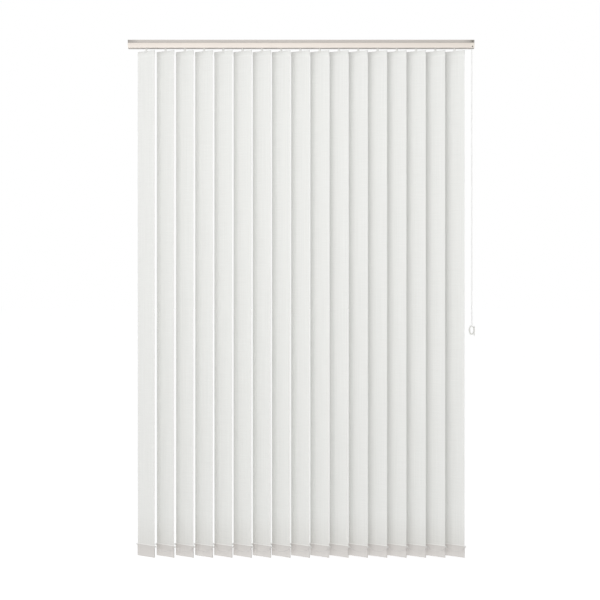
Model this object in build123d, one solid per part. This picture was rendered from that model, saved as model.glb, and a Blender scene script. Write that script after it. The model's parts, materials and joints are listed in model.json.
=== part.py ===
from build123d import *
import math
import os

# Vertical blind with 89 mm fabric vanes on a slim aluminium head rail. All sizes in millimetres.
# X runs along the rail, -Y faces the room and +Z is up. The origin is the middle of the rail's top
# face, where the mounting clips meet the ceiling.

# ---- Driving dimensions ----
VANE_WIDTH = 89.0
VANE_OVERLAP = 11.0           # vane's width less the pitch
VANE_LENGTH = 2046.0
VANE_ANGLE = 33.0             # between each vane and the window plane, right-hand edge to the room
VANE_GAP = 11.0               # rail's underside to the vane's top edge

RAIL_LENGTH = 1400.0          # over both end caps
RAIL_HEIGHT = 33.0
RAIL_DEPTH = 32.0
RAIL_WALL = 1.4
RAIL_FLOOR = 1.5              # thickness of the lips that the carriers run on
FIRST_VANE = 73.0             # left end of the rail to the first vane's axis
LAST_VANE = 79.0              # least from the last vane's axis to the right end of the rail
STEM_Y = -3.0                 # the vanes' turning axes, a little in front of the rail's middle
SLOT_WIDTH = 9.0              # slot in the rail's underside
FACIA_TOP = 12.4              # depth of the undercut band above the fascia
UNDERCUT = 2.0
FACIA_CROWN = 0.8
EDGE_RADIUS = 0.6

CHANNEL_DEPTH = 4.2           # channel in the rail's top that takes the clips
CHANNEL_MARGIN = 7.6          # rail's depth less the channel's width
CHANNEL_LIP = 1.3
LIP_REACH = 2.7               # each lip over the clips' wings

CAP_PLATE = 3.0               # left-hand end cap outside the rail
CONTROL_CAP = 16.0            # right-hand end cap outside the rail
CAP_PLUG = 13.0
SCREW_HOLE_RADIUS = 1.9       # two sockets in the control cap's front
SCREW_HOLE_DEPTH = 3.0
SCREW_HOLE_INSETS = (5.5, 5.7)  # from the cap's top and from its underside

CLIP_LENGTH = 30.0
CLIP_THICKNESS = 3.2
CLIP_SCREW_RADIUS = 2.2
CLIP_INSET = 110.0            # end of the rail to the outer clips
CLIP_SHARE = 7                # the inner clips stand this part of the rail's length off its middle

ROD_RADIUS = 2.6
ROD_Y = 4.0
ROD_BELOW_MIDDLE = 1.5        # rod under the rail's mid-height
ROD_FLUTES = 4
FLUTE_RADIUS = 0.9

CARRIER_LENGTH = 16.0
CARRIER_MARGIN = 12.0         # rail's depth less the carrier's width
CARRIER_RISE = 8.7            # rod to the carrier's top
GUIDE_HEIGHT = 2.7            # running flanges along the carrier's foot
WORM_WALL = 0.9               # rod to the outside of the worm
WORM_LENGTH = 9.0
GEAR_HEIGHT = 5.0
SPACER_LANES = 6
SPACER_PITCH = 2.2
SPACER_THICKNESS = 0.8
SPACER_HEIGHT = 2.4
SPACER_FOOT = 3.0
SPACER_OVERHANG = 1.5
SPACER_CHANNEL = 3.5          # depth of the carrier's channel for the spacers

STEM_RADIUS = 2.2
STEM_CLIP_TOP = 3.0           # rail's underside to the top of the stem's clip
STEM_CLIP_WIDTH = 7.0
STEM_CLIP_DEPTH = 5.0
STEM_CLIP_HEIGHT = 14.0
TONGUE_RADIUS = 1.3

FABRIC = 0.5                  # thickness of one layer of the vane's cloth
TOP_POCKET = 20.0
HANGER_INSET = 2.5            # vane's edge to the hanger's end
HANGER_HEIGHT = 16.0
HANGER_THICKNESS = 1.2
HANGER_NECK = 12.0
NOTCH_WIDTH = 14.0
NOTCH_DEPTH = 8.0

BOTTOM_POCKET = 50.0
WEIGHT_INSET = 3.5
WEIGHT_HEIGHT = 46.0
WEIGHT_THICKNESS = 2.0
ARM_HEIGHT = 5.0
EYE_STAND_OUT = 4.5           # vane's edge to the centre of each linking-chain eye
EYE_RADIUS = 2.6
EYE_HOLE = 1.1

LINK_RADIUS = 1.5             # linking chain, over its beads
LINK_SAG = [(0.0, 1.6), (8.0, -6.2), (19.0, -13.8), (31.5, -17.8)]  # from an eye to mid-span
LINK_SPAN = 78.0              # pitch that the sag is given for

CHAIN_RADIUS = 2.25           # control chain, over its beads
CHAIN_DROP = 1162.0           # ceiling to the bottom of the chain's loop
BEAD_PITCH = 6.0
WHEEL_POCKETS = 8
WHEEL_FLANGE = 9.6
WHEEL_WIDTH = 7.4
POCKET_RADIUS = 2.9           # bead pockets across the wheel's groove
POCKET_WIDTH = 3.0

CLIP_BAND = 5.2               # chain tensioner, front to back
RING_TOP_WALL = 4.4
RING_OUTER = (11.5, 19.4)     # half width and half height
RING_HOLE = (6.5, 14.0)
RING_SHIFT = -1.5             # ring's middle, sideways from the chain
PLATE_THICKNESS = 3.0
PLATE_WIDTH = 12.0
PLATE_HEIGHT = 39.0
PLATE_FACE = 11.5             # chain to the plate's fixing face
PLATE_DROP = 4.0
PLATE_SCREW_RADIUS = 1.8
PLATE_SCREW_INSET = 4.6

# ---- Clearances ----
RUNNING = 0.08                # shaft in its bearing, on radius
PRESS = 0.02                  # chain wheel on the rod, on radius
SLIDING = 0.3                 # moving plastic beside its neighbour
PLUG_FIT = 0.25
SLEEVE = 0.1                  # worm on the rod
MESH_GAP = 0.2                # worm to the stem's gear
POCKET_FIT = 0.2              # weight in the cloth's bottom pocket
LOOP_GAP = 0.6                # control chain to the tensioner
HOUSING_GAP = 0.8             # chain wheel to its housing
AXIAL = 0.5

# ---- Worked-out sizes ----
VANE_PITCH = VANE_WIDTH - VANE_OVERLAP
VANE_COUNT = 1 + math.floor((RAIL_LENGTH - FIRST_VANE - LAST_VANE) / VANE_PITCH)
HANGER_WIDTH = VANE_WIDTH - 2 * HANGER_INSET
WEIGHT_WIDTH = VANE_WIDTH - 2 * WEIGHT_INSET
EYE_REACH = VANE_WIDTH / 2 + EYE_STAND_OUT
CHANNEL_WIDTH = RAIL_DEPTH - CHANNEL_MARGIN
CHANNEL_OPENING = CHANNEL_WIDTH - 2 * LIP_REACH
CARRIER_WIDTH = RAIL_DEPTH - CARRIER_MARGIN
WORM_RADIUS = ROD_RADIUS + WORM_WALL

# ---- Worked-out places ----
HALF_DEPTH = RAIL_DEPTH / 2
RAIL_LEFT = -RAIL_LENGTH / 2 + CAP_PLATE
RAIL_RIGHT = RAIL_LENGTH / 2 - CONTROL_CAP
CHAIN_X = RAIL_RIGHT + CONTROL_CAP / 2
VANE_TOP = -RAIL_HEIGHT - VANE_GAP
VANE_BOTTOM = VANE_TOP - VANE_LENGTH
ROD_Z = -RAIL_HEIGHT / 2 - ROD_BELOW_MIDDLE
CAVITY_TOP = -CHANNEL_DEPTH - RAIL_WALL
CAVITY_FLOOR = -RAIL_HEIGHT + RAIL_FLOOR
CARRIER_FLOOR = CAVITY_FLOOR + SLIDING
CARRIER_TOP = ROD_Z + CARRIER_RISE
CHANNEL_FLOOR = CARRIER_TOP - SPACER_CHANNEL
WHEEL_RADIUS = BEAD_PITCH * WHEEL_POCKETS / (2 * math.pi)
HOUSING_RADIUS = WHEEL_FLANGE + HOUSING_GAP
GEAR_RADIUS = ROD_Y - STEM_Y - WORM_RADIUS - MESH_GAP
EYE_Z = VANE_BOTTOM + BOTTOM_POCKET - ARM_HEIGHT


def block(x, y, z):
    """Box between the two ends given for each axis."""
    low = (min(x), min(y), min(z))
    size = (abs(x[1] - x[0]), abs(y[1] - y[0]), abs(z[1] - z[0]))
    return Pos(*low) * Box(*size, align=(Align.MIN, Align.MIN, Align.MIN))


def rod_along_x(radius, x, y, z):
    return Pos((x[0] + x[1]) / 2, y, z) * Rot(0, 90, 0) * Cylinder(radius, abs(x[1] - x[0]))


def rod_along_y(radius, x, y, z):
    return Pos(x, (y[0] + y[1]) / 2, z) * Rot(90, 0, 0) * Cylinder(radius, abs(y[1] - y[0]))


def rod_along_z(radius, x, y, z):
    return Pos(x, y, (z[0] + z[1]) / 2) * Cylinder(radius, abs(z[1] - z[0]))


def run_along_x(section, x):
    """Extrude a section drawn in (y, z) between two ends."""
    return extrude(Plane.YZ.offset(x[0]) * section, amount=x[1] - x[0])


def outer_section():
    """Rail's outside: undercut band at the top of the front, crowned fascia below it."""
    front = -HALF_DEPTH
    inset = front + UNDERCUT
    step = FACIA_TOP - UNDERCUT / 2
    middle = (FACIA_TOP + RAIL_HEIGHT) / 2
    crown = ThreePointArc((front, -FACIA_TOP), (front - FACIA_CROWN, -middle), (front, -RAIL_HEIGHT))
    rest = Polyline(
        (front, -RAIL_HEIGHT),
        (HALF_DEPTH, -RAIL_HEIGHT),
        (HALF_DEPTH, 0),
        (front, 0),
        (inset, -step),
        (front, -FACIA_TOP),
    )
    section = make_face([crown, *rest.edges()])
    return fillet(section.vertices(), EDGE_RADIUS)


def cavity_section(inset=0.0):
    """Rail's inside, or the same shape drawn in by a clearance for a plug."""
    front = -HALF_DEPTH + RAIL_WALL + inset
    neck = -CHANNEL_WIDTH / 2 + inset
    back = HALF_DEPTH - RAIL_WALL - inset
    shoulder = FACIA_TOP + RAIL_WALL + inset
    outline = Polyline(
        (neck, CAVITY_TOP - inset),
        (neck, -shoulder),
        (front, -shoulder - UNDERCUT),
        (front, CAVITY_FLOOR + inset),
        (back, CAVITY_FLOOR + inset),
        (back, CAVITY_TOP - inset),
        close=True,
    )
    return make_face(outline.edges())


def head_rail():
    """Extrusion: clip channel on top, hollow for the carriers, slot for the stems underneath."""
    span = (RAIL_LEFT, RAIL_RIGHT)
    rail = run_along_x(outer_section(), span)
    rail -= run_along_x(cavity_section(), span)
    rail -= block(span, (-CHANNEL_WIDTH / 2, CHANNEL_WIDTH / 2), (-CHANNEL_DEPTH, -CHANNEL_LIP))
    rail -= block(span, (-CHANNEL_OPENING / 2, CHANNEL_OPENING / 2), (-CHANNEL_LIP, 1))
    slot = (STEM_Y - SLOT_WIDTH / 2, STEM_Y + SLOT_WIDTH / 2)
    rail -= block(span, slot, (-RAIL_HEIGHT - 1, CAVITY_FLOOR))
    return rail


def return_end_cap():
    """Left-hand cap: a plate over the rail's end with a plug that carries the rod's end."""
    cap = run_along_x(outer_section(), (-RAIL_LENGTH / 2, RAIL_LEFT))
    cap += run_along_x(cavity_section(PLUG_FIT), (RAIL_LEFT, RAIL_LEFT + CAP_PLUG))
    cap -= rod_along_x(ROD_RADIUS + RUNNING, (RAIL_LEFT, RAIL_LEFT + CAP_PLUG), ROD_Y, ROD_Z)
    return cap


def control_end_cap():
    """Right-hand cap: houses the chain wheel, open below for the chain's two strands."""
    outside = RAIL_LENGTH / 2
    cap = run_along_x(outer_section(), (RAIL_RIGHT, outside))
    cap += run_along_x(cavity_section(PLUG_FIT), (RAIL_RIGHT - CAP_PLUG, RAIL_RIGHT))
    wheel_space = (CHAIN_X - WHEEL_WIDTH / 2 - AXIAL, CHAIN_X + WHEEL_WIDTH / 2 + AXIAL)
    cap -= rod_along_x(HOUSING_RADIUS, wheel_space, ROD_Y, ROD_Z)
    mouth = (ROD_Y - HOUSING_RADIUS, ROD_Y + HOUSING_RADIUS)
    cap -= block(wheel_space, mouth, (-RAIL_HEIGHT - 1, ROD_Z))
    bearing = (RAIL_RIGHT - CAP_PLUG, outside - RAIL_WALL)
    cap -= rod_along_x(ROD_RADIUS + RUNNING, bearing, ROD_Y, ROD_Z)
    for height in (-SCREW_HOLE_INSETS[0], SCREW_HOLE_INSETS[1] - RAIL_HEIGHT):
        depth = (-HALF_DEPTH - UNDERCUT, -HALF_DEPTH + SCREW_HOLE_DEPTH)
        cap -= rod_along_y(SCREW_HOLE_RADIUS, CHAIN_X, depth, height)
    return cap


def mounting_clips():
    """Spring clips screwed to the ceiling: the rail's top lips snap over their wings."""
    clips = []
    top_half = CHANNEL_OPENING / 2 - SLIDING
    wing_half = CHANNEL_WIDTH / 2 - SLIDING
    wing_top = -CHANNEL_LIP - SLIDING
    outer = RAIL_LENGTH / 2 - CLIP_INSET
    inner = RAIL_LENGTH / CLIP_SHARE
    for place in (-outer, -inner, inner, outer):
        span = (place - CLIP_LENGTH / 2, place + CLIP_LENGTH / 2)
        clip = block(span, (-top_half, top_half), (wing_top, 0))
        clip += block(span, (-wing_half, wing_half), (-CLIP_THICKNESS, wing_top))
        clip -= rod_along_z(CLIP_SCREW_RADIUS, place, 0, (-CLIP_THICKNESS - 1, 1))
        clips.append(clip.solid())
    return clips


def tilt_rod():
    """Fluted rod through every carrier, with the chain wheel pressed on its right-hand end."""
    section = Circle(ROD_RADIUS)
    flute = Pos(ROD_RADIUS + FLUTE_RADIUS / 3, 0) * Circle(FLUTE_RADIUS)
    for step in range(ROD_FLUTES):
        section -= Rot(0, 0, 360 * step / ROD_FLUTES) * flute
    ends = (RAIL_LEFT + AXIAL, RAIL_LENGTH / 2 - RAIL_WALL - AXIAL)
    rod = run_along_x(Pos(ROD_Y, ROD_Z) * section, ends)
    return [rod.solid(), chain_wheel()]


def chain_wheel():
    """Flanged wheel with a pocket for each bead round its groove."""
    half = WHEEL_WIDTH / 2
    groove = CHAIN_RADIUS + SLIDING
    bore = ROD_RADIUS + PRESS
    seat = ThreePointArc((WHEEL_RADIUS, 0, groove), (WHEEL_RADIUS - groove, 0, 0), (WHEEL_RADIUS, 0, -groove))
    rest = Polyline(
        (WHEEL_RADIUS, 0, -groove),
        (WHEEL_FLANGE, 0, -groove),
        (WHEEL_FLANGE, 0, -half),
        (bore, 0, -half),
        (bore, 0, half),
        (WHEEL_FLANGE, 0, half),
        (WHEEL_FLANGE, 0, groove),
        (WHEEL_RADIUS, 0, groove),
    )
    wheel = revolve(make_face([seat, *rest.edges()]), axis=Axis.Z)
    pocket = Pos(WHEEL_RADIUS, 0, 0) * Cylinder(POCKET_RADIUS, POCKET_WIDTH)
    for step in range(WHEEL_POCKETS):
        wheel -= Rot(0, 0, 360 * step / WHEEL_POCKETS) * pocket
    return (Pos(CHAIN_X, ROD_Y, ROD_Z) * Rot(0, 90, 0) * wheel).solid()


def tube(points, radii, radius):
    """Round cord along straight runs joined by tangent arcs."""
    path = FilletPolyline(*points, radius=radii)
    start = Plane(origin=path @ 0, z_dir=path % 0)
    return sweep(start * Circle(radius), path=path).solid()


def control_chain():
    """Endless bead chain: over the wheel, straight down, and under the tensioner's top bar."""
    front = ROD_Y - WHEEL_RADIUS
    back = ROD_Y + WHEEL_RADIUS
    route = [
        (CHAIN_X, front, ROD_Z),
        (CHAIN_X, front, -CHAIN_DROP),
        (CHAIN_X, back, -CHAIN_DROP),
        (CHAIN_X, back, ROD_Z),
    ]
    turn = WHEEL_RADIUS - MESH_GAP / 4
    print("control chain radii", [round(turn, 2)] * 2)
    strands = tube(route, [turn, turn], CHAIN_RADIUS)
    print("control chain loop length", round(strands.volume / (math.pi * CHAIN_RADIUS**2), 1))
    upper_half = Pos(0, 0, 2 * WHEEL_RADIUS) * Box(5 * WHEEL_RADIUS, 5 * WHEEL_RADIUS, 4 * WHEEL_RADIUS)
    over_wheel = Rot(0, 90, 0) * Torus(WHEEL_RADIUS, CHAIN_RADIUS)
    over_wheel = Pos(CHAIN_X, ROD_Y, ROD_Z) * (over_wheel & upper_half)
    return (strands + over_wheel).solid()


def chain_tensioner():
    """Hold-down for the chain: an oval ring the loop passes through, on a plate for one screw."""
    loop_inside = -CHAIN_DROP + CHAIN_RADIUS + LOOP_GAP
    ring_top = loop_inside + RING_TOP_WALL
    hole_middle = loop_inside - RING_HOLE[1]
    section = Pos(RING_SHIFT, ring_top - RING_OUTER[1]) * Ellipse(*RING_OUTER)
    section -= Pos(0, hole_middle) * Ellipse(*RING_HOLE)
    ring = extrude(Plane.XZ.offset(-CLIP_BAND / 2) * section, amount=CLIP_BAND)
    ring = fillet(ring.edges(), CLIP_BAND / 4)
    plate_top = ring_top - PLATE_DROP
    face = (PLATE_FACE - PLATE_THICKNESS, PLATE_FACE)
    plate = block(face, (-PLATE_WIDTH / 2, PLATE_WIDTH / 2), (plate_top - PLATE_HEIGHT, plate_top))
    plate = fillet(plate.edges().filter_by(Axis.X), PLATE_WIDTH / 2 - SLIDING)
    screw_z = plate_top - PLATE_HEIGHT + PLATE_SCREW_INSET
    hold_down = ring + plate
    hold_down -= rod_along_x(PLATE_SCREW_RADIUS, (face[0] - 1, face[1] + 1), 0, screw_z)
    print("tensioner screw", CHAIN_X + PLATE_FACE, ROD_Y, round(screw_z, 3))
    return (Pos(CHAIN_X, ROD_Y, 0) * hold_down).solid()


def vane_x(index):
    """Turning axis of a vane, counted from 1 at the left."""
    return -RAIL_LENGTH / 2 + FIRST_VANE + (index - 1) * VANE_PITCH


def carrier_body():
    """Glider around the rod: running flanges, gear and worm pockets, channel for the spacers."""
    half = CARRIER_LENGTH / 2
    span = (-half, half)
    guide = HALF_DEPTH - RAIL_WALL - SLIDING * 2
    body = block(span, (-CARRIER_WIDTH / 2, CARRIER_WIDTH / 2), (CARRIER_FLOOR, CARRIER_TOP))
    body += block(span, (-guide, guide), (CARRIER_FLOOR, CARRIER_FLOOR + GUIDE_HEIGHT))
    channel = SPACER_PITCH * SPACER_LANES / 2
    body -= block(span, (-channel, channel), (CHANNEL_FLOOR, CARRIER_TOP + 1))
    gear_floor = ROD_Z - GEAR_HEIGHT / 2 - SLIDING
    body -= rod_along_z(GEAR_RADIUS + SLIDING, 0, STEM_Y, (gear_floor, CARRIER_TOP))
    body -= rod_along_z(STEM_RADIUS + RUNNING, 0, STEM_Y, (CARRIER_FLOOR - 1, gear_floor))
    worm_space = WORM_RADIUS + SLIDING
    worm_half = WORM_LENGTH / 2 + SLIDING
    worm_side = (ROD_Y - worm_space, ROD_Y + worm_space)
    body -= block((-worm_half, worm_half), worm_side, (ROD_Z - worm_space, CARRIER_TOP))
    body -= rod_along_x(ROD_RADIUS + SLIDING + SLEEVE, (-half - 1, half + 1), ROD_Y, ROD_Z)
    return body.solid()


def worm():
    """Sleeve on the rod that drives the stem's gear."""
    span = (-WORM_LENGTH / 2, WORM_LENGTH / 2)
    sleeve = rod_along_x(WORM_RADIUS, span, ROD_Y, ROD_Z)
    sleeve -= rod_along_x(ROD_RADIUS + SLEEVE, (span[0] - 1, span[1] + 1), ROD_Y, ROD_Z)
    return sleeve.solid()


def spacer(index):
    """Strip on a carrier that reaches past its left-hand neighbour and sets the vane pitch."""
    half = CARRIER_LENGTH / 2
    lane = (index % SPACER_LANES - (SPACER_LANES - 1) / 2) * SPACER_PITCH
    side = (lane - SPACER_THICKNESS / 2, lane + SPACER_THICKNESS / 2)
    base = CHANNEL_FLOOR + SLIDING
    strip = block((-VANE_PITCH - half - SPACER_OVERHANG, half), side, (base, base + SPACER_HEIGHT))
    strip += block((half - SPACER_FOOT, half), side, (CHANNEL_FLOOR, base))
    return strip.solid()


def carrier(index):
    pieces = [carrier_body(), worm()]
    if index > 1:
        pieces.append(spacer(index))
    return [Pos(vane_x(index), 0, 0) * piece for piece in pieces]


def vane_cloth():
    """Cloth strip with a pocket at each end, seen along its width."""
    hanger_space = HANGER_THICKNESS + 2 * SLIDING
    weight_space = WEIGHT_THICKNESS + 2 * POCKET_FIT
    pockets = [
        (VANE_TOP, VANE_TOP - TOP_POCKET, hanger_space),
        (VANE_BOTTOM + BOTTOM_POCKET, VANE_BOTTOM, weight_space),
    ]
    middle = (VANE_TOP + VANE_BOTTOM) / 2
    section = Pos(0, middle) * Rectangle(FABRIC, VANE_LENGTH - TOP_POCKET)
    for top, bottom, space in pockets:
        place = Pos(0, (top + bottom) / 2)
        height = top - bottom
        section += place * Rectangle(space + 2 * FABRIC, height)
    for top, bottom, space in pockets:
        place = Pos(0, (top + bottom) / 2)
        height = top - bottom
        section -= place * Rectangle(space, height - 2 * FABRIC)
    cloth = run_along_x(section, (-VANE_WIDTH / 2, VANE_WIDTH / 2))
    notch = (VANE_TOP - NOTCH_DEPTH, VANE_TOP + 1)
    cloth -= block((-NOTCH_WIDTH / 2, NOTCH_WIDTH / 2), (-BOTTOM_POCKET, BOTTOM_POCKET), notch)
    return cloth.solid()


def stem():
    """Gear, shaft and slotted clip with the tongue that holds the hanger."""
    clip_top = -RAIL_HEIGHT - STEM_CLIP_TOP
    clip_bottom = clip_top - STEM_CLIP_HEIGHT
    gear_bottom = ROD_Z - GEAR_HEIGHT / 2
    half_width = STEM_CLIP_WIDTH / 2
    half_depth = STEM_CLIP_DEPTH / 2
    piece = rod_along_z(GEAR_RADIUS, 0, 0, (gear_bottom, gear_bottom + GEAR_HEIGHT))
    piece += rod_along_z(STEM_RADIUS, 0, 0, (clip_top, gear_bottom))
    piece += block((-half_width, half_width), (-half_depth, half_depth), (clip_bottom, clip_top))
    slot = HANGER_THICKNESS / 2 + SLIDING
    slot_top = VANE_TOP + HANGER_THICKNESS * 2 + SLIDING
    piece -= block((-half_width, half_width), (-slot, slot), (clip_bottom, slot_top))
    piece += rod_along_y(TONGUE_RADIUS, 0, (-half_depth, half_depth), tongue_height())
    return piece.solid()


def tongue_height():
    return VANE_TOP - HANGER_THICKNESS


def hanger():
    """Stiff plate in the cloth's top pocket with a neck that clips into the stem."""
    top = VANE_TOP - (TOP_POCKET - HANGER_HEIGHT) / 2
    side = (-HANGER_THICKNESS / 2, HANGER_THICKNESS / 2)
    neck_top = VANE_TOP + HANGER_THICKNESS * 2
    plate = block((-HANGER_WIDTH / 2, HANGER_WIDTH / 2), side, (top - HANGER_HEIGHT, top))
    plate = fillet(plate.edges().filter_by(Axis.Y), 2 * HANGER_THICKNESS)
    plate += block((-HANGER_NECK / 2, HANGER_NECK / 2), side, (top - HANGER_HEIGHT / 2, neck_top))
    plate -= rod_along_y(TONGUE_RADIUS + SLIDING, 0, (-STEM_CLIP_DEPTH, STEM_CLIP_DEPTH), tongue_height())
    return plate.solid()


def bottom_weight():
    """Plate in the cloth's bottom pocket with an eye for a linking chain past each edge."""
    side = (-WEIGHT_THICKNESS / 2, WEIGHT_THICKNESS / 2)
    top = EYE_Z + ARM_HEIGHT / 2
    plate = block((-WEIGHT_WIDTH / 2, WEIGHT_WIDTH / 2), side, (top - WEIGHT_HEIGHT, top))
    plate = fillet(plate.edges().filter_by(Axis.Y), 2 * WEIGHT_THICKNESS)
    plate += block((-EYE_REACH, EYE_REACH), side, (EYE_Z - ARM_HEIGHT / 2, top))
    for reach in (-EYE_REACH, EYE_REACH):
        plate += rod_along_y(EYE_RADIUS, reach, side, EYE_Z)
        plate -= rod_along_y(EYE_HOLE, reach, (-STEM_CLIP_DEPTH, STEM_CLIP_DEPTH), EYE_Z)
    return plate.solid()


def on_axis(index, pieces):
    """Turn the pieces to the vane's rest angle on its own axis."""
    return [Pos(vane_x(index), STEM_Y, 0) * Rot(0, 0, -VANE_ANGLE) * piece for piece in pieces]


def linking_chain(side):
    """Bead chain hung in bights from the tip of every eye; side is 1 in front, -1 behind."""
    angle = math.radians(VANE_ANGLE)
    tip = EYE_REACH + EYE_RADIUS
    reach = tip * math.sin(angle)
    stand_off = WEIGHT_THICKNESS / 2 * math.cos(angle) + SLIDING + LINK_RADIUS
    y = STEM_Y - side * (reach + stand_off)
    first = vane_x(1) + side * tip * math.cos(angle)
    half_bight = [(x * VANE_PITCH / LINK_SPAN, z) for x, z in LINK_SAG]
    bight = half_bight + [(VANE_PITCH - x, z) for x, z in reversed(half_bight[1:])]
    points = [
        (first + span * VANE_PITCH + x, y, EYE_Z + z)
        for span in range(VANE_COUNT - 1)
        for x, z in bight
    ]
    points.append((first + (VANE_COUNT - 1) * VANE_PITCH, y, EYE_Z + LINK_SAG[0][1]))
    radii = corner_radii(points)
    chain = tube(points, radii, LINK_RADIUS)
    print("linking chain radii", sorted({round(radius, 1) for radius in radii}))
    print("linking chain length", round(chain.volume / (math.pi * LINK_RADIUS**2), 1))
    print("linking chain pivot", round(points[-1][0], 4), round(STEM_Y - side * reach, 4))
    return chain


def corner_radii(points):
    """Largest arc for each corner: 0.45 of the shorter run over the tangent of half the turn."""
    radii = []
    for before, corner, after in zip(points, points[1:], points[2:]):
        arriving = Vector(*corner) - Vector(*before)
        leaving = Vector(*after) - Vector(*corner)
        turn = math.radians(arriving.get_angle(leaving))
        radii.append(0.45 * min(arriving.length, leaving.length) / math.tan(turn / 2))
    return radii


def write(node, pieces):
    """One STEP file per sub-part; a list of pieces stays a group of separate solids."""
    shape = pieces if not isinstance(pieces, list) else Compound(children=pieces)
    shape.label = node
    export_step(shape, f"parts/{node}.step")


def main():
    os.makedirs("parts", exist_ok=True)
    write("head_rail", head_rail().solid())
    write("return_end_cap", return_end_cap().solid())
    write("control_end_cap", control_end_cap().solid())
    write("mounting_clips", mounting_clips())
    write("tilt_rod", tilt_rod())
    write("control_chain", control_chain())
    write("chain_tensioner", chain_tensioner())
    write("linking_chain_front", linking_chain(1))
    write("linking_chain_rear", linking_chain(-1))
    cloth = vane_cloth()
    for index in range(1, VANE_COUNT + 1):
        write(f"carrier_{index:02d}", carrier(index))
        write(f"vane_{index:02d}", on_axis(index, [cloth])[0])
        write(f"vane_fittings_{index:02d}", on_axis(index, [stem(), hanger(), bottom_weight()]))


main()
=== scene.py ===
import json
import math
import random

import bmesh
import bpy
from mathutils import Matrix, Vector


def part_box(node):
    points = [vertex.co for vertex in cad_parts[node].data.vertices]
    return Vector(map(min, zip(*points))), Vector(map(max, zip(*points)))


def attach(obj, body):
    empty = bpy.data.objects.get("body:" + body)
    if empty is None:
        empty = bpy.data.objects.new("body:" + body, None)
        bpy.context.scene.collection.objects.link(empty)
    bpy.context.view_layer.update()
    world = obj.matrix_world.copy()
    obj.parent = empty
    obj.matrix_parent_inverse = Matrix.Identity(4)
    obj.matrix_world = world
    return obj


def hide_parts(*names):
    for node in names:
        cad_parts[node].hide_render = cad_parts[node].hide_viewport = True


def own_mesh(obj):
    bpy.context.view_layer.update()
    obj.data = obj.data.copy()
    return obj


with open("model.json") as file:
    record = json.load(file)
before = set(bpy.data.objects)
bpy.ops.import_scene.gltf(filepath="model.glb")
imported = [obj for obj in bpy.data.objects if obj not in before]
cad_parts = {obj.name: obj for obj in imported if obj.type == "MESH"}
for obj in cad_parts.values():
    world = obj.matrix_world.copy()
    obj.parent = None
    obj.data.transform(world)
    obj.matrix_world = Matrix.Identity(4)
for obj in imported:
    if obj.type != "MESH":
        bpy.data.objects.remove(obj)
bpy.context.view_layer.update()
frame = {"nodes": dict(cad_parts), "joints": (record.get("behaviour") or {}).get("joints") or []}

# Vertical blind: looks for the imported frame. Metres, X along the rail, -Y to the room, +Z up.

VANES = sum(1 for name in frame["nodes"] if name.startswith("vane_") and "fittings" not in name)

# ---- Places worked out from the frame ----
JOINTS = {joint["name"]: joint for joint in frame["joints"]}


def tilt_joint(index):
    return JOINTS["tilt" if index == 1 else f"tilt_{index:02d}"]


PITCH = tilt_joint(2)["pos_m"][0] - tilt_joint(1)["pos_m"][0]
FIRST_X, STEM_Y = tilt_joint(1)["pos_m"][:2]
LINK_PIVOT = JOINTS["link_front_turn"]["pos_m"]
LAST_X = tilt_joint(VANES)["pos_m"][0]
EYE_TIP = math.hypot(LINK_PIVOT[0] - LAST_X, LINK_PIVOT[1] - STEM_Y)
VANE_ANGLE = math.atan2(STEM_Y - LINK_PIVOT[1], LINK_PIVOT[0] - LAST_X)
VANE_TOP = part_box("vane_01")[1][2]
VANE_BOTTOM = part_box("vane_01")[0][2]
RAIL_LOW, RAIL_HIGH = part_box("head_rail")

# ---- Sizes of what this script adds ----
VANE_WIDTH = 0.089
CLOTH = 0.0005
TOP_POCKET = 0.020
TOP_HALF = 0.00115            # cloth's middle surface to the vane's plane round the hanger
BOTTOM_POCKET = 0.050
BOTTOM_HALF = 0.00145         # the same round the weight
TOUCH = 1.1 * CLOTH           # between the middle surfaces of two layers at a seam
PINCH = 0.0012                # height in which the layers part next to a seam
TOP_OPEN = 0.0045             # from the top seam to where the pocket has its full thickness
BOTTOM_OPEN = 0.005           # the same at the bottom seam
SINGLE = 0.006                # from a seam to the free cloth
ABOVE_FOLD = 0.02             # last row of the weight's pocket before its fold
NOTCH_HALF = 0.007
NOTCH_DEPTH = 0.008
SWAY = 0.0004
RIPPLE = 0.00015

BAND_LOW = -0.0115            # the undercut band's painted shade, a grey copy of the cream: above this height,
BAND_FRONT = -0.0128          # nearer to the room than this,
TOP_SKIN = 0.0007             # and this far below the rail's top
UNDER_SKIN = 0.0004           # height over the rail's lowest faces that takes their painted shade with them
END_SHADE = (0.655, 0.697)    # distances from the rail's middle over which painted shade darkens the band towards the ends
YARN_PITCH = 0.0009
LOW_SHADE_HEIGHT = 0.12                # height above the weight over which painted shade darkens the cloth
SEAM_HIGHLIGHT_DOWN = 0.001           # the painted highlight at the low seam: its middle, below the seam,
SEAM_HIGHLIGHT_HALF = 0.0014          # and half its height

STRING_SHARE = 0.17           # the cord's radius to its bead's diameter
LINK_BEAD = 0.003
LINK_PITCH = 0.0045
EYE_BELOW_SEAM = 0.005        # the weight's eyes, below the bottom pocket's seam
HALF_BIGHT = ((0.0, 0.0016), (0.008, -0.0062), (0.019, -0.0138), (0.0315, -0.0178))
CHAIN_BEAD = 0.0045
CHAIN_PITCH = 0.006
CHAIN_BOTTOM = -1.162         # middle of the beads under the tensioner's bar
CHAIN_TURN = 0.027            # height in which the loop turns round the bar

SCREW_PROFILE = (             # radius and depth, from the middle of the head outwards
    (0.0, 0.0), (0.0009, 0.0001), (0.0015, 0.0004), (0.00178, 0.0009), (0.00178, 0.0018),
)
SCREW_HEADS = (               # height, place behind the rail's front, and the profile's two scales
    (-0.0055, 0.0022, 1.0, 1.0),
    (-0.0273, -0.0008, 1.4, 0.5),
)
FLOOR_BELOW = 0.25            # under the vanes


# ---- Materials ----

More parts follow.
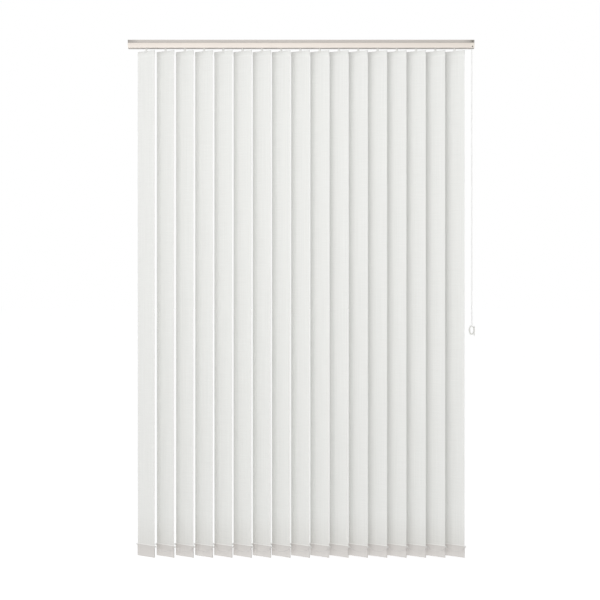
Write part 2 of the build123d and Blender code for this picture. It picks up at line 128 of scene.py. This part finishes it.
class Material:
    """A Principled material and the nodes that feed it."""

    def __init__(self, name, roughness, **sockets):
        self.material = bpy.data.materials.new(name)
        self.material.use_nodes = True
        self.nodes = self.material.node_tree.nodes
        self.links = self.material.node_tree.links
        self.shader = self.nodes["Principled BSDF"]
        self.shader.inputs["Roughness"].default_value = roughness
        for socket, value in sockets.items():
            self.shader.inputs[socket.replace("_", " ")].default_value = value

    def add(self, kind, inputs=None, **settings):
        node = self.nodes.new(kind)
        for setting, value in settings.items():
            setattr(node, setting, value)
        for socket, value in (inputs or {}).items():
            if hasattr(value, "links"):
                self.links.new(value, node.inputs[socket])
            else:
                node.inputs[socket].default_value = value
        return node

    def math(self, operation, first, second=0.0):
        node = self.add("ShaderNodeMath", {0: first, 1: second}, operation=operation)
        return node.outputs[0]

    def object_point(self):
        return self.add("ShaderNodeTexCoord").outputs["Object"]

    def noise(self, point, scale, stretch=(1, 1, 1), detail=3.0):
        mapped = self.add("ShaderNodeMapping", {"Vector": point, "Scale": stretch}).outputs[0]
        node = self.add("ShaderNodeTexNoise", {"Vector": mapped, "Scale": scale, "Detail": detail})
        return node.outputs[0]

    def ramp(self, factor, dark, light, low=0.3, high=0.7):
        """Colour between two values as the factor goes from low to high."""
        node = self.add("ShaderNodeValToRGB", {"Fac": factor})
        node.color_ramp.elements[0].position = low
        node.color_ramp.elements[0].color = (*dark, 1)
        node.color_ramp.elements[1].position = high
        node.color_ramp.elements[1].color = (*light, 1)
        return node.outputs[0]

    def share(self, value, low, high):
        """0 to 1 as the value goes from low to high."""
        node = self.add("ShaderNodeMapRange", {"Value": value, 1: low, 2: high, 3: 0.0, 4: 1.0})
        return node.outputs[0]

    def times(self, colour, factors):
        return self.mix(1.0, colour, (*factors, 1), "MULTIPLY")

    def mix(self, factor, first, second, blend="MIX"):
        node = self.add("ShaderNodeMix", data_type="RGBA", blend_type=blend)
        for socket, value in ((0, factor), (6, first), (7, second)):
            if hasattr(value, "links"):
                self.links.new(value, node.inputs[socket])
            else:
                node.inputs[socket].default_value = value
        return node.outputs[2]

    def colour(self, value):
        self.links.new(value, self.shader.inputs["Base Color"])

    def roughness(self, value):
        self.links.new(value, self.shader.inputs["Roughness"])

    def bump(self, height, distance, strength=1.0):
        node = self.add(
            "ShaderNodeBump", {"Height": height, "Distance": distance, "Strength": strength}
        )
        self.links.new(node.outputs[0], self.shader.inputs["Normal"])


def moulded(name, dark, light, roughness, grain=900.0):
    """Injection-moulded plastic: faint cloudiness and a fine spark-eroded grain."""
    made = Material(name, roughness, Specular_IOR_Level=0.45)
    point = made.object_point()
    made.colour(made.ramp(made.noise(point, 35.0), dark, light))
    patches = made.math("MULTIPLY", made.noise(point, 260.0), 0.16)
    made.roughness(made.math("ADD", patches, roughness - 0.08))
    made.bump(made.noise(point, grain, detail=2.0), 0.00004, 0.5)
    return made.material


def powder_coat(name, light, dark, ends=False):
    """Cream finish with orange peel; painted shade greys the undercut band along the top of the
    front, can darken that band towards the ends, and darkens the lowest faces.
    """
    made = Material(name, 0.42, Specular_IOR_Level=0.5)
    point = made.object_point()
    split = made.add("ShaderNodeSeparateXYZ", {"Vector": point})
    drift = made.noise(point, 6.0, (0.4, 1, 1))
    cream = made.ramp(drift, tuple(part * 0.965 for part in light), light)
    shade = made.ramp(drift, tuple(part * 0.94 for part in dark), dark)
    # painted shade: the band darkens towards the rail's ends
    if ends:
        reach = made.math("ABSOLUTE", split.outputs[0])
        end = made.share(reach, *END_SHADE)
        shade = made.mix(end, shade, tuple(part * 0.62 for part in dark) + (1,))
    # painted shade: the undercut band, below the top lip and nearest the room, takes the shaded
    # copy of the finish
    upper = made.math("GREATER_THAN", split.outputs[2], BAND_LOW)
    front = made.math("LESS_THAN", split.outputs[1], BAND_FRONT)
    below = made.math("LESS_THAN", split.outputs[2], -TOP_SKIN)
    band = made.math("MULTIPLY", made.math("MULTIPLY", upper, front), below)
    # painted shade: the rail's lowest faces are coloured a dark grey-brown
    under = made.math("LESS_THAN", split.outputs[2], RAIL_LOW[2] + UNDER_SKIN)
    painted = made.mix(band, cream, shade)
    made.colour(made.mix(under, painted, (0.36, 0.335, 0.315, 1)))
    peel = made.noise(point, 620.0, detail=1.5)
    made.roughness(made.math("ADD", made.math("MULTIPLY", peel, 0.12), 0.36))
    made.bump(peel, 0.00005, 0.6)
    return made.material


def drawn_metal(name, dark, light, roughness):
    """Extruded or rolled metal with fine lines along X."""
    made = Material(name, roughness, Metallic=1.0)
    point = made.object_point()
    lines = made.noise(point, 500.0, (0.01, 1, 1), 4.0)
    made.colour(made.ramp(lines, dark, light))
    made.roughness(made.math("ADD", made.math("MULTIPLY", lines, 0.2), roughness - 0.1))
    made.bump(lines, 0.00003, 0.5)
    return made.material


def vane_fabric():
    """Plain-woven polyester: yarns both ways, slubby weft and a soft sheen."""
    made = Material(
        "vane_fabric", 0.86, Sheen_Weight=0.35, Sheen_Roughness=0.5, Specular_IOR_Level=0.2
    )
    uv = made.add("ShaderNodeUVMap", uv_map="cut").outputs[0]
    wobble = made.noise(uv, 90.0, (1, 1, 1), 2.0)
    split = made.add("ShaderNodeSeparateXYZ", {"Vector": uv})
    yarn = 2 * math.pi / YARN_PITCH
    shift = made.math("MULTIPLY", wobble, 2.4)
    warp = made.math("SINE", made.math("ADD", made.math("MULTIPLY", split.outputs[0], yarn), shift))
    weft = made.math("SINE", made.math("ADD", made.math("MULTIPLY", split.outputs[1], yarn), shift))
    cross = made.math("MULTIPLY", warp, weft)
    slub = made.noise(uv, 55.0, (0.25, 9.0, 1), 4.0)
    streak = made.noise(uv, 55.0, (6.0, 0.06, 1), 3.0)
    part_slub, part_streak = made.math("MULTIPLY", slub, 0.45), made.math("MULTIPLY", streak, 0.55)
    mottled = made.math("ADD", part_slub, part_streak)
    tone = made.ramp(mottled, (0.775, 0.778, 0.758), (0.83, 0.833, 0.813), 0.35, 0.65)
    deep = made.math("ADD", made.math("MULTIPLY", cross, 0.02), 0.98)
    grey = made.add("ShaderNodeCombineColor", {0: deep, 1: deep, 2: deep}).outputs[0]
    woven = made.mix(1.0, tone, grey, "MULTIPLY")
    level = made.add("ShaderNodeSeparateXYZ", {"Vector": made.object_point()}).outputs[2]
    low_seam = VANE_BOTTOM + BOTTOM_POCKET
    # painted shade: the cloth darkens towards the weight's pocket
    low_shade = made.share(level, low_seam + LOW_SHADE_HEIGHT, low_seam)
    low_shaded = made.mix(low_shade, woven, made.times(woven, (0.93, 0.92, 0.912)))
    weighted = made.math("LESS_THAN", level, low_seam - 0.0015)
    hung = made.math("GREATER_THAN", level, VANE_TOP - TOP_POCKET + 0.001)
    over_weight = made.mix(weighted, low_shaded, made.times(woven, (0.85, 0.815, 0.805)))
    over_hanger = made.mix(hung, over_weight, made.times(over_weight, (0.965, 0.965, 0.965)))
    # painted highlight: a pale line along the low seam, where the cloth turns out towards the
    # pocket
    seam = made.math("COMPARE", level, low_seam - SEAM_HIGHLIGHT_DOWN)
    seam.node.inputs[2].default_value = SEAM_HIGHLIGHT_HALF
    made.colour(made.mix(seam, over_hanger, made.times(woven, (1.09, 1.075, 1.075))))
    height = made.math("ADD", made.math("MULTIPLY", cross, 0.35), made.math("MULTIPLY", slub, 0.9))
    made.bump(height, 0.00006, 0.6)
    return made.material


# the second colour of each finish is the painted shade for its undercut band
RAIL = powder_coat("rail_powder_coat", (0.75, 0.685, 0.625), (0.475, 0.443, 0.412), ends=True)
CAP = powder_coat("cap_plastic", (0.78, 0.73, 0.66), (0.40, 0.375, 0.335), ends=True)
CARRIER = moulded("carrier_plastic", (0.82, 0.82, 0.80), (0.88, 0.88, 0.86), 0.4)
FITTING = moulded("fitting_plastic", (0.74, 0.74, 0.72), (0.80, 0.80, 0.78), 0.45)
TENSIONER = moulded("tensioner_plastic", (0.68, 0.68, 0.65), (0.76, 0.76, 0.73), 0.38)
BEAD = moulded("bead_plastic", (0.92, 0.92, 0.91), (0.96, 0.96, 0.955), 0.25)
LINK = moulded("linking_bead_plastic", (0.58, 0.565, 0.55), (0.66, 0.645, 0.63), 0.35)
CLIP = drawn_metal("clip_steel", (0.42, 0.42, 0.43), (0.62, 0.62, 0.63), 0.35)
ROD = drawn_metal("rod_aluminium", (0.62, 0.63, 0.64), (0.78, 0.79, 0.80), 0.32)
SCREW = moulded("dark_screw", (0.012, 0.013, 0.011), (0.03, 0.031, 0.028), 0.5)
FABRIC = vane_fabric()


def finish_nodes():
    """Give each CAD node that stays in sight its own finish."""
    finishes = {
        "head_rail": RAIL,
        "return_end_cap": CAP,
        "control_end_cap": CAP,
        "mounting_clips": CLIP,
        "tilt_rod": ROD,
        "chain_tensioner": TENSIONER,
        "carrier": CARRIER,
        "vane_fittings": FITTING,
    }
    for name in frame["nodes"]:
        for start, material in finishes.items():
            if name.startswith(start):
                for place in bpy.data.objects[name].material_slots:
                    place.material = material


# ---- Helpers ----

def piece(name, mesh, material, body):
    made = bpy.data.objects.new(name, mesh)
    bpy.context.scene.collection.objects.link(made)
    made.data.materials.append(material)
    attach(made, body)
    return made


def smooth(mesh, angle=35.0):
    mesh.shade_smooth()
    mesh.set_sharp_from_angle(angle=math.radians(angle))


# ---- Vanes ----

def vane_profile():
    """Middle surface of the cloth from the top pocket's seam, round both folds, to the lower seam.

    Each row is how far it stands behind the vane's plane and its height.
    """
    top_seam = VANE_TOP - TOP_POCKET
    low_seam = VANE_BOTTOM + BOTTOM_POCKET
    top_open, top_notch = top_seam + TOP_OPEN, VANE_TOP - NOTCH_DEPTH
    low_open, low_last = low_seam - BOTTOM_OPEN, VANE_BOTTOM + ABOVE_FOLD
    near, far = TOUCH * 1.2, -TOUCH * 0.4
    rows = [(TOUCH, top_seam), (near, top_seam + PINCH), (TOP_HALF, top_open)]
    rows += [(TOP_HALF, top_notch)]
    rows += fold(TOP_HALF, VANE_TOP - CLOTH / 2, 1)
    rows += [(-TOP_HALF, top_notch), (-TOP_HALF, top_open)]
    rows += [(far, top_seam + PINCH), (0, top_seam - 0.001), (0, top_seam - SINGLE)]
    hang = top_seam - SINGLE - (low_seam + SINGLE)
    steps = 48
    rows += [(0, top_seam - SINGLE - hang * step / steps) for step in range(1, steps)]
    rows += [(0, low_seam + SINGLE), (0, low_seam + 0.001), (far, low_seam - PINCH)]
    rows += [(-BOTTOM_HALF, low_open), (-BOTTOM_HALF, low_last)]
    rows += fold(-BOTTOM_HALF, VANE_BOTTOM + CLOTH / 2, -1)
    rows += [(BOTTOM_HALF, low_last), (BOTTOM_HALF, low_open)]
    rows += [(near, low_seam - PINCH), (TOUCH, low_seam)]
    return rows


def fold(half, end, up):
    """Round fold at a vane's end, from one face to the other."""
    points = []
    radius = abs(half)
    for step in range(9):
        turn = math.pi * step / 8
        points.append((half * math.cos(turn), end - up * radius * (1 - math.sin(turn))))
    return points


def bow(across, height, curl, sway):
    """Gentle curl and drift of the free cloth between its stiff ends."""
    top = VANE_TOP - TOP_POCKET
    low = VANE_BOTTOM + BOTTOM_POCKET
    share = min(max((top - height) / (top - low), 0.0), 1.0)
    free = math.sin(math.pi * share) ** 0.6
    outer = (2 * across / VANE_WIDTH) ** 2
    cup = curl * (1 - outer) * free
    drift = sway[0] * math.sin(2 * math.pi * share + sway[1]) * free
    ripple = RIPPLE * math.sin(14 * math.pi * share + sway[2]) * outer * free
    return cup + drift + ripple


def vane(index):
    """One cloth strip, open at the notch where the stem's clip takes the hanger."""
    draw = random.Random(100 + index)
    curl = draw.uniform(-0.0006, -0.0014)
    sway = (draw.uniform(-SWAY, SWAY), draw.uniform(0, 6.28), draw.uniform(0, 6.28))
    half = VANE_WIDTH / 2
    edges = [-1, -0.985, -0.86, -0.7, -0.52, -0.34, NOTCH_HALF / half]
    across = [edge * half for edge in edges[:-1]] + [-NOTCH_HALF, 0]
    across += [-value for value in reversed(across[:-1])]
    rows = vane_profile()
    mesh = bpy.data.meshes.new(f"vane_cloth_{index:02d}")
    build = bmesh.new()
    cut = build.loops.layers.uv.new("cut")
    along = [0.0]
    for before, after in zip(rows, rows[1:]):
        along.append(along[-1] + math.dist(before, after))
    cosine, sine = math.cos(VANE_ANGLE), math.sin(VANE_ANGLE)
    x_axis = FIRST_X + (index - 1) * PITCH
    grid = []
    for behind, height in rows:
        line = []
        for u in across:
            n = behind + bow(u, height, curl, sway)
            place = (x_axis + u * cosine + n * sine, STEM_Y - u * sine + n * cosine, height)
            line.append(build.verts.new(place))
        grid.append(line)
    notch_low = VANE_TOP - NOTCH_DEPTH - 0.0001
    for row in range(len(rows) - 1):
        for column in range(len(across) - 1):
            inside = abs(across[column] + across[column + 1]) / 2 < NOTCH_HALF
            if inside and min(rows[row][1], rows[row + 1][1]) > notch_low:
                continue
            corners = [(row, column), (row, column + 1), (row + 1, column + 1), (row + 1, column)]
            face = build.faces.new([grid[r][c] for r, c in corners])
            for loop, (r, c) in zip(face.loops, corners):
                loop[cut].uv = (across[c] + 0.37 * index, along[r])
    loose = [vert for vert in build.verts if not vert.link_faces]
    bmesh.ops.delete(build, geom=loose, context="VERTS")
    build.to_mesh(mesh)
    build.free()
    made = bpy.data.objects.new("shell", mesh)
    bpy.context.scene.collection.objects.link(made)
    thick = made.modifiers.new("thickness", "SOLIDIFY")
    thick.thickness = CLOTH
    thick.offset = 0
    graph = bpy.context.evaluated_depsgraph_get()
    solid = bpy.data.meshes.new_from_object(made.evaluated_get(graph))
    bpy.data.objects.remove(made)
    solid.name = f"vane_cloth_{index:02d}"
    smooth(solid, 50.0)
    made = piece(f"vane_cloth_{index:02d}", solid, FABRIC, f"vane_{index:02d}")
    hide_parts(f"vane_{index:02d}")
    return made


# ---- Bead chains ----

def smooth_line(points):
    """Points along the NURBS spline that has these control points."""
    curve = bpy.data.curves.new("route", "CURVE")
    curve.dimensions = "3D"
    curve.resolution_u = 12
    spline = curve.splines.new("NURBS")
    spline.points.add(len(points) - 1)
    for target, point in zip(spline.points, points):
        target.co = (*point, 1)
    spline.order_u = 3
    spline.use_endpoint_u = True
    route = bpy.data.objects.new("route", curve)
    bpy.context.scene.collection.objects.link(route)
    graph = bpy.context.evaluated_depsgraph_get()
    line = bpy.data.meshes.new_from_object(route.evaluated_get(graph))
    found = [vert.co.copy() for vert in line.vertices]
    bpy.data.objects.remove(route)
    bpy.data.meshes.remove(line)
    return found


def even_points(line, spacing):
    """Places at even distances along a line."""
    places = [line[0].copy()]
    carried = 0.0
    for start, end in zip(line, line[1:]):
        length = (end - start).length
        while carried + length >= spacing:
            step = spacing - carried
            start = start + (end - start) * (step / length)
            length = (end - start).length
            carried = 0.0
            places.append(start.copy())
        carried += length
    return places


def ball(sides=12, rings=8):
    """Unit ball: its points and its faces."""
    points = [(0.0, 0.0, 1.0)]
    for ring in range(1, rings):
        down = math.pi * ring / rings
        for side in range(sides):
            turn = 2 * math.pi * side / sides
            out = math.sin(down)
            points.append((out * math.cos(turn), out * math.sin(turn), math.cos(down)))
    points.append((0.0, 0.0, -1.0))
    faces = []
    for side in range(sides):
        beside = (side + 1) % sides
        faces.append((0, 1 + side, 1 + beside))
        for ring in range(rings - 2):
            upper, lower = 1 + ring * sides, 1 + (ring + 1) * sides
            faces.append((upper + side, lower + side, lower + beside, upper + beside))
        last = 1 + (rings - 2) * sides
        faces.append((last + side, len(points) - 1, last + beside))
    return [Vector(point) for point in points], faces


def string(places, radius, sides=6):
    """Thin tube through the beads' middles, closed at its ends."""
    points, faces = [], []
    for number, place in enumerate(places):
        before = places[max(number - 1, 0)]
        after = places[min(number + 1, len(places) - 1)]
        along = (after - before).normalized()
        steady = Vector((0, 1, 0)) if abs(along.y) < 0.9 else Vector((1, 0, 0))
        aside = along.cross(steady).normalized()
        over = along.cross(aside)
        for side in range(sides):
            turn = 2 * math.pi * side / sides
            points.append(place + radius * (math.cos(turn) * aside + math.sin(turn) * over))
    for number in range(len(places) - 1):
        near, far = number * sides, (number + 1) * sides
        for side in range(sides):
            beside = (side + 1) % sides
            faces.append((near + side, near + beside, far + beside, far + side))
    faces.append(tuple(reversed(range(sides))))
    faces.append(tuple(range(len(points) - sides, len(points))))
    return points, faces


def bead_chain(name, points, bead, spacing, material, body):
    """Moulded beads on a thin cord, along a smooth route."""
    line = smooth_line(points)
    places = even_points(line, spacing)
    verts, faces = string(places, bead * STRING_SHARE)
    round_points, round_faces = ball()
    for place in places:
        first = len(verts)
        verts.extend(place + bead / 2 * point for point in round_points)
        faces.extend(tuple(first + corner for corner in face) for face in round_faces)
    mesh = bpy.data.meshes.new(name)
    mesh.from_pydata(verts, [], faces)
    smooth(mesh, 40.0)
    made = piece(name, mesh, material, body)
    return made


def control_beads():
    """Loop from the chain wheel, straight down, under the tensioner's bar and back up."""
    low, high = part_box("control_chain")
    x = (low[0] + high[0]) / 2
    front = low[1] + CHAIN_BEAD / 2
    back = high[1] - CHAIN_BEAD / 2
    start = JOINTS["rod_turn"]["pos_m"][2]
    turn = CHAIN_BOTTOM + CHAIN_TURN
    down = [(x, front, start), (x, front, turn), (x, front, CHAIN_BOTTOM)]
    points = down + [(x, back, z) for _, _, z in reversed(down)]
    made = bead_chain("control_beads", points, CHAIN_BEAD, CHAIN_PITCH, BEAD, "rail")
    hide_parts("control_chain")


def linking_beads(name, side):
    """Bights between the eyes of neighbouring vanes; side is 1 in front and -1 behind."""
    low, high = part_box(f"linking_chain_{name}")
    y = (low[1] + high[1]) / 2
    eye_z = VANE_BOTTOM + BOTTOM_POCKET - EYE_BELOW_SEAM
    bight = list(HALF_BIGHT) + [(PITCH - x, z) for x, z in reversed(HALF_BIGHT[1:])]
    first = FIRST_X + side * EYE_TIP * math.cos(VANE_ANGLE)
    starts = [first + span * PITCH for span in range(VANES - 1)]
    route = [(start + x, y, eye_z + z) for start in starts for x, z in bight]
    route.append((first + (VANES - 1) * PITCH, y, eye_z + HALF_BIGHT[0][1]))
    made = bead_chain(f"linking_beads_{name}", route, LINK_BEAD, LINK_PITCH, LINK, f"link_{name}")
    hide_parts(f"linking_chain_{name}")
    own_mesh(made)


# ---- Small trim ----

def cap_screws():
    """Dark screws in the control cap's front: one sunk in its socket, one pan head on the face."""
    x = (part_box("control_end_cap")[1][0] + RAIL_HIGH[0]) / 2
    for number, (height, behind, wide, deep) in enumerate(SCREW_HEADS, start=1):
        mesh = bpy.data.meshes.new(f"cap_screw_{number}")
        build = bmesh.new()
        points = [(radius * wide, depth * deep, 0) for radius, depth in SCREW_PROFILE]
        verts = [build.verts.new(point) for point in points]
        edges = [build.edges.new(pair) for pair in zip(verts, verts[1:])]
        bmesh.ops.spin(
            build, geom=verts + edges, axis=(0, 1, 0), cent=(0, 0, 0), steps=20, angle=2 * math.pi
        )
        bmesh.ops.remove_doubles(build, verts=build.verts, dist=1e-6)
        rim = [edge for edge in build.edges if edge.is_boundary]
        bmesh.ops.holes_fill(build, edges=rim)
        bmesh.ops.recalc_face_normals(build, faces=build.faces)
        bmesh.ops.translate(build, verts=build.verts, vec=(x, RAIL_LOW[1] + behind, height))
        build.to_mesh(mesh)
        build.free()
        smooth(mesh)
        piece(f"cap_screw_{number}", mesh, SCREW, "rail")


# ---- Camera, lights and stage ----

def camera():
    """Level camera in front of the blind, framed with a small vertical shift."""
    data = bpy.data.cameras.new("camera")
    data.lens = 75.35
    data.sensor_width = 36.0
    data.shift_y = -0.05
    data.clip_end = 100
    made = bpy.data.objects.new("camera", data)
    made.location = (-0.0045, RAIL_LOW[1] - 5.07, -0.93)
    made.rotation_euler = (math.radians(90), 0, 0)
    bpy.context.scene.collection.objects.link(made)
    bpy.context.scene.camera = made


def soft_box(name, place, target, size, power):
    data = bpy.data.lights.new(name, "AREA")
    data.shape = "DISK"
    data.size = size
    data.energy = power
    made = bpy.data.objects.new(name, data)
    made.location = place
    made.rotation_euler = (Vector(target) - Vector(place)).to_track_quat("-Z", "Y").to_euler()
    bpy.context.scene.collection.objects.link(made)


def studio():
    """White background, soft grey surround, a wide key in front and a small light to the left."""
    world = bpy.data.worlds.new("studio")
    world.use_nodes = True
    bpy.context.scene.world = world
    nodes, links = world.node_tree.nodes, world.node_tree.links
    lit = nodes["Background"]
    lit.inputs["Color"].default_value = (1, 1, 1, 1)
    lit.inputs["Strength"].default_value = 0.34
    seen = nodes.new("ShaderNodeBackground")
    seen.inputs["Color"].default_value = (1, 1, 1, 1)
    path = nodes.new("ShaderNodeLightPath")
    mix = nodes.new("ShaderNodeMixShader")
    links.new(path.outputs["Is Camera Ray"], mix.inputs[0])
    links.new(lit.outputs[0], mix.inputs[1])
    links.new(seen.outputs[0], mix.inputs[2])
    links.new(mix.outputs[0], nodes["World Output"].inputs["Surface"])
    soft_box("key", (-0.35, -3.1, 0.2), (0, 0, -0.85), 2.5, 43)
    soft_box("side", (-1.9, -2.7, 0.0), (0, 0, -0.95), 0.8, 8.5)
    bpy.context.scene.view_settings.view_transform = "Standard"


def floor():
    """Plain pale floor a little below the vanes."""
    mesh = bpy.data.meshes.new("floor")
    reach = 40.0
    height = VANE_BOTTOM - FLOOR_BELOW
    sides = [(-reach, -reach), (reach, -reach), (reach, reach), (-reach, reach)]
    corners = [(x, y, height) for x, y in sides]
    mesh.from_pydata(corners, [], [(0, 1, 2, 3)])
    made = bpy.data.objects.new("floor", mesh)
    bpy.context.scene.collection.objects.link(made)
    pale = bpy.data.materials.new("pale_floor")
    pale.use_nodes = True
    shader = pale.node_tree.nodes["Principled BSDF"]
    shader.inputs["Base Color"].default_value = (0.82, 0.82, 0.82, 1)
    shader.inputs["Roughness"].default_value = 0.95
    shader.inputs["Emission Color"].default_value = (1, 1, 1, 1)
    shader.inputs["Emission Strength"].default_value = 0.72
    made.data.materials.append(pale)


camera()
studio()
floor()
finish_nodes()
control_beads()
linking_beads("front", 1)
linking_beads("rear", -1)
for number in range(1, VANES + 1):
    vane(number)
cap_screws()
